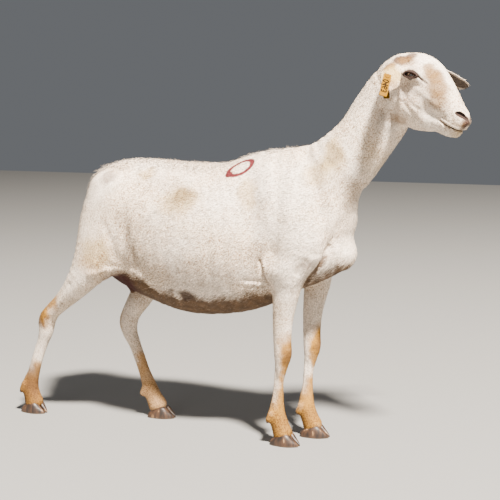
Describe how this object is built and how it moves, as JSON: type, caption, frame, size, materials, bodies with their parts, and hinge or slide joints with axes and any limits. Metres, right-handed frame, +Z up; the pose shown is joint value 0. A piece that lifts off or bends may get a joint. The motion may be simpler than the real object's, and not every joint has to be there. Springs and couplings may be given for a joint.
{
  "type": "sheep figure",
  "caption": "Life-size standing ewe with a short pale coat, head turned to her right, drooping ears, docked tail and a plain ear tag, posed still on level cloven feet.",
  "frame": {"origin": "on the floor, under the middle of the whole animal", "axes": "+X towards her head, +Y to her left, +Z up"},
  "size_m": [1.2146, 0.338, 0.9312],
  "materials": {
    "coat": "short dense hair, matte",
    "horn": "satin horn",
    "eye": "wet gloss",
    "udder_skin": "bare skin, matte",
    "tag": "soft plastic, satin"
  },
  "bodies": {
    "root": {"hoof_front_right_outer": "horn", "hoof_front_right_inner": "horn", "hoof_front_left_inner": "horn", "hoof_front_left_outer": "horn", "hoof_hind_right_outer": "horn", "hoof_hind_right_inner": "horn", "hoof_hind_left_inner": "horn", "hoof_hind_left_outer": "horn", "dewclaw_front_right_outer": "horn", "dewclaw_front_right_inner": "horn", "dewclaw_front_left_inner": "horn", "dewclaw_front_left_outer": "horn", "dewclaw_hind_right_outer": "horn", "dewclaw_hind_right_inner": "horn", "dewclaw_hind_left_inner": "horn", "dewclaw_hind_left_outer": "horn", "leg_front_right": "coat", "leg_front_left": "coat", "leg_hind_right": "coat", "leg_hind_left": "coat", "eye_left": "eye", "eye_right": "eye", "head": "coat", "tag_front": "tag", "tag_back": "tag", "tag_stud": "tag", "ear_left": "coat", "ear_right": "coat", "neck": "coat", "tail": "coat", "trunk": "coat", "udder": "udder_skin"}
  },
  "joints": []
}
